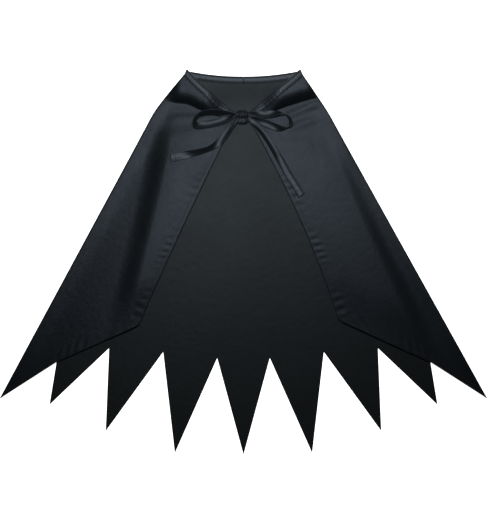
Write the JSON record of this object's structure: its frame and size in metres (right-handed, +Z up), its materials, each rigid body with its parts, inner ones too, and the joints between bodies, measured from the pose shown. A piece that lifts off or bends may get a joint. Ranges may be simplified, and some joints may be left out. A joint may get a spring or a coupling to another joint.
{
  "type": "superhero cape",
  "caption": "Child's tie-on dress-up cape with a jagged pointed hem, laid flat with its fronts closed and its neck ties in a bow.",
  "frame": {"origin": "on the surface the cape lies on, under the middle of its outline", "axes": "+X across the cape to the right as seen from above with the neck at the top, +Y towards the neck, +Z up from the surface"},
  "size_m": [0.886, 0.698, 0.0194],
  "materials": {
    "outer_cloth": "smooth dark polyester twill, outer face, soft sheen",
    "inner_cloth": "the same twill's inner face, more matt",
    "tie_tape": "the same twill folded into a pressed, stitched tape",
    "thread": "black polyester sewing thread"
  },
  "bodies": {
    "cape": {"back_panel": "inner_cloth", "neckband_back_left": "tie_tape", "neckband_back_left_stitching": "thread", "left_front_panel": "outer_cloth", "left_side_fold": "outer_cloth", "left_front_hem": "outer_cloth", "left_tip_hem": "outer_cloth", "left_front_stitching": "thread", "left_tip_stitching": "thread", "neckband_left": "tie_tape", "neckband_left_stitching": "thread", "neckband_back_right": "tie_tape", "neckband_back_right_stitching": "thread", "right_front_panel": "outer_cloth", "right_side_fold": "outer_cloth", "right_front_hem": "outer_cloth", "right_tip_hem": "outer_cloth", "right_front_stitching": "thread", "right_tip_stitching": "thread", "neckband_right": "tie_tape", "neckband_right_stitching": "thread", "half_knot": "tie_tape", "bow_knot": "tie_tape"},
    "left_corner": {"left_front_corner": "outer_cloth", "left_corner_hem": "outer_cloth", "left_corner_stitching": "thread"},
    "right_corner": {"right_front_corner": "outer_cloth", "right_corner_hem": "outer_cloth", "right_corner_stitching": "thread"},
    "left_bow_loop": {"left_loop": "tie_tape"},
    "right_bow_loop": {"right_loop": "tie_tape"},
    "left_tie_tail": {"left_tail": "tie_tape", "left_tail_end": "tie_tape"},
    "right_tie_tail": {"right_tail": "tie_tape", "right_tail_end": "tie_tape"}
  },
  "joints": [
    {"name": "left_corner_fold", "type": "hinge", "parent": "cape", "child": "left_corner", "pos_m": [-0.10225, 0.082, 0.0063], "axis": [-0.6723, -0.7402, 0], "range_deg": [0, 160]},
    {"name": "right_corner_fold", "type": "hinge", "parent": "cape", "child": "right_corner", "pos_m": [0.09752, 0.091, 0.0063], "axis": [-0.6672, 0.7449, 0], "range_deg": [0, 160]},
    {"name": "left_loop_lift", "type": "hinge", "parent": "cape", "child": "left_bow_loop", "pos_m": [-0.0145, 0.269, 0.0194], "axis": [0, 1, 0], "range_deg": [0, 50]},
    {"name": "right_loop_lift", "type": "hinge", "parent": "cape", "child": "right_bow_loop", "pos_m": [0.0085, 0.269, 0.0194], "axis": [0, -1, 0], "range_deg": [0, 50]},
    {"name": "left_tail_swing", "type": "hinge", "parent": "cape", "child": "left_tie_tail", "pos_m": [-0.003, 0.269, 0.0075], "axis": [0, 0, 1], "range_deg": [-10, 18]},
    {"name": "right_tail_swing", "type": "hinge", "parent": "cape", "child": "right_tie_tail", "pos_m": [-0.003, 0.269, 0.0075], "axis": [0, 0, -1], "range_deg": [-10, 18]}
  ]
}
